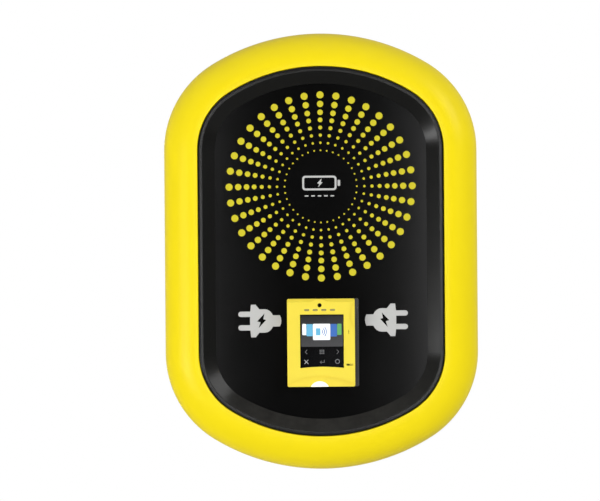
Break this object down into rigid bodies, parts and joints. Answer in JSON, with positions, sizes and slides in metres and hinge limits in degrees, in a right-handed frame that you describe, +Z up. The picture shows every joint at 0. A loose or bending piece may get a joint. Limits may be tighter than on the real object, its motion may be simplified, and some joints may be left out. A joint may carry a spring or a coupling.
{
  "type": "ev charging box",
  "caption": "Wall-mounted car charging box: domed oval ring round a recessed panel with a card terminal, hinged front, socket outlets in its sides and a deep rear box.",
  "frame": {"origin": "on the wall, in the middle of the wall-bolt pattern", "axes": "+Z up, +Y into the wall, +X to the right as seen from the front"},
  "size_m": [0.3666, 0.188, 0.5106],
  "materials": {
    "yellow_cowl": "satin, smooth moulded yellow",
    "black_bezel": "satin black",
    "black_panel": "gloss black with printed yellow dots",
    "box_paint": "fine-textured dark grey powder coat",
    "galvanised": "zinc-coated sheet",
    "bright_steel": "zinc-plated",
    "plated_contact": "silver-plated",
    "brass": "machined",
    "gland_nylon": "black nylon",
    "rubber": "soft black",
    "socket_plastic": "finely grained dark grey",
    "dark_plastic": "finely grained black",
    "device_grey": "light grey moulded",
    "lever_blue": "moulded blue",
    "button_yellow": "moulded yellow",
    "terminal_yellow": "pale yellow, fine satin",
    "screen_glass": "clear, polished",
    "board_green": "solder mask",
    "lens_white": "milky translucent"
  },
  "bodies": {
    "root": {"back_box": "box_paint", "wall_bracket": "galvanised", "gland_plate": "galvanised", "chassis_plate": "galvanised", "din_rails": "galvanised", "hinge_leaves_box": "box_paint", "hinge_pins": "bright_steel", "bracket_screws": "bright_steel", "gland_plate_screws": "bright_steel", "chassis_screws": "bright_steel", "socket_screws": "bright_steel", "lock_cylinder": "bright_steel", "lid_pins": "bright_steel", "lid_springs": "bright_steel", "earth_stud": "brass", "left_contacts": "plated_contact", "right_contacts": "plated_contact", "gland_body": "gland_nylon", "gland_nut": "gland_nylon", "gland_locknuts": "gland_nylon", "blanking_plug": "gland_nylon", "vent_plug": "gland_nylon", "gland_seal": "rubber", "flange_gaskets": "rubber", "left_socket_flange": "socket_plastic", "right_socket_flange": "socket_plastic", "left_contact_insert": "socket_plastic", "right_contact_insert": "socket_plastic", "lock_actuators": "dark_plastic", "rcbo_cases": "device_grey", "contactors": "device_grey", "energy_meters": "device_grey", "power_supply": "device_grey", "controller_case": "device_grey", "terminal_blocks": "device_grey"},
    "door": {"front_cowl": "yellow_cowl", "bezel": "black_bezel", "front_panel": "black_panel", "door_frame": "box_paint", "door_gasket": "rubber", "hinge_leaves_door": "box_paint", "door_catch": "bright_steel", "door_screws": "bright_steel", "terminal_case_front": "terminal_yellow", "terminal_case_rear": "dark_plastic", "terminal_glass": "screen_glass", "terminal_board": "board_green", "terminal_screws": "bright_steel", "card_slot_lens": "lens_white"},
    "right_lid": {"right_lid": "socket_plastic", "right_lid_seal": "rubber"},
    "left_lid": {"left_lid": "socket_plastic", "left_lid_seal": "rubber"},
    "right_lock_pin": {"right_lock_pin": "bright_steel"},
    "left_lock_pin": {"left_lock_pin": "bright_steel"},
    "right_lever": {"right_rcbo_lever": "lever_blue"},
    "left_lever": {"left_rcbo_lever": "lever_blue"},
    "right_button": {"right_test_button": "button_yellow"},
    "left_button": {"left_test_button": "button_yellow"},
    "lock_cam": {"lock_cam": "bright_steel"}
  },
  "joints": [
    {"name": "door_hinge", "type": "hinge", "parent": "root", "child": "door", "pos_m": [-0.163, -0.122, 0], "axis": [0, 0, -1], "range_deg": [0, 100]},
    {"name": "lock_turn", "type": "hinge", "parent": "root", "child": "lock_cam", "pos_m": [0.1503, -0.1, 0.06], "axis": [-1, 0, 0], "range_deg": [0, 90]},
    {"name": "right_lid_hinge", "type": "hinge", "parent": "root", "child": "right_lid", "pos_m": [0.1623, -0.057, -0.032], "axis": [0, -1, 0], "range_deg": [0, 100], "stiffness_Nm_per_rad": 0.03, "springref_deg": -28.65},
    {"name": "right_lock_slide", "type": "slide", "parent": "root", "child": "right_lock_pin", "axis": [0, 0, -1], "range_m": [0, 0.006]},
    {"name": "right_lever_flip", "type": "hinge", "parent": "root", "child": "right_lever", "pos_m": [0.054, -0.09, 0.13], "axis": [1, 0, 0], "range_deg": [0, 70]},
    {"name": "right_test_press", "type": "slide", "parent": "root", "child": "right_button", "axis": [0, 1, 0], "range_m": [0, 0.0015], "stiffness_N_per_m": 200, "springref_m": -0.001},
    {"name": "left_lid_hinge", "type": "hinge", "parent": "root", "child": "left_lid", "pos_m": [-0.1623, -0.057, -0.032], "axis": [0, 1, 0], "range_deg": [0, 100], "stiffness_Nm_per_rad": 0.03, "springref_deg": -28.65},
    {"name": "left_lock_slide", "type": "slide", "parent": "root", "child": "left_lock_pin", "axis": [0, 0, -1], "range_m": [0, 0.006]},
    {"name": "left_lever_flip", "type": "hinge", "parent": "root", "child": "left_lever", "pos_m": [-0.054, -0.09, 0.13], "axis": [1, 0, 0], "range_deg": [0, 70]},
    {"name": "left_test_press", "type": "slide", "parent": "root", "child": "left_button", "axis": [0, 1, 0], "range_m": [0, 0.0015], "stiffness_N_per_m": 200, "springref_m": -0.001}
  ]
}
